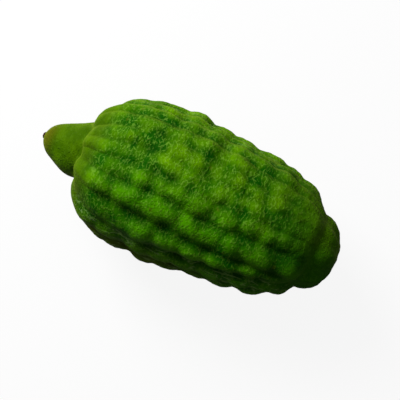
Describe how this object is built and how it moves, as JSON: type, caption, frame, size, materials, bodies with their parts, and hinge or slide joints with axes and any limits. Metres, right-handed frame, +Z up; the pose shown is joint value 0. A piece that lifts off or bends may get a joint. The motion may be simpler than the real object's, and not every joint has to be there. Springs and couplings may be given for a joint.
{
  "type": "lemon",
  "caption": "Whole ribbed green lemon of the citron kind, lying on its side, with a blossom-end nipple and a stem-end collar that holds the calyx.",
  "frame": {"origin": "on the surface that the fruit rests on, under the middle of its box in length and width", "axes": "+X along the fruit from the nipple at the blossom end to the collar at the stem end, +Z up, and +Y to the left of someone who looks from the nipple to the collar"},
  "size_m": [0.159, 0.0796, 0.0755],
  "materials": {
    "rind": "green oily rind with a soft sheen, pitted with oil glands, paler on its knobs and dark in the furrows",
    "dried_style": "dry dark brown, matt and a little ragged",
    "calyx": "olive green going dry and brown at the cut stalk, matt"
  },
  "bodies": {
    "root": {"fruit": "rind", "style_stub": "dried_style", "calyx_button": "calyx"}
  },
  "joints": []
}
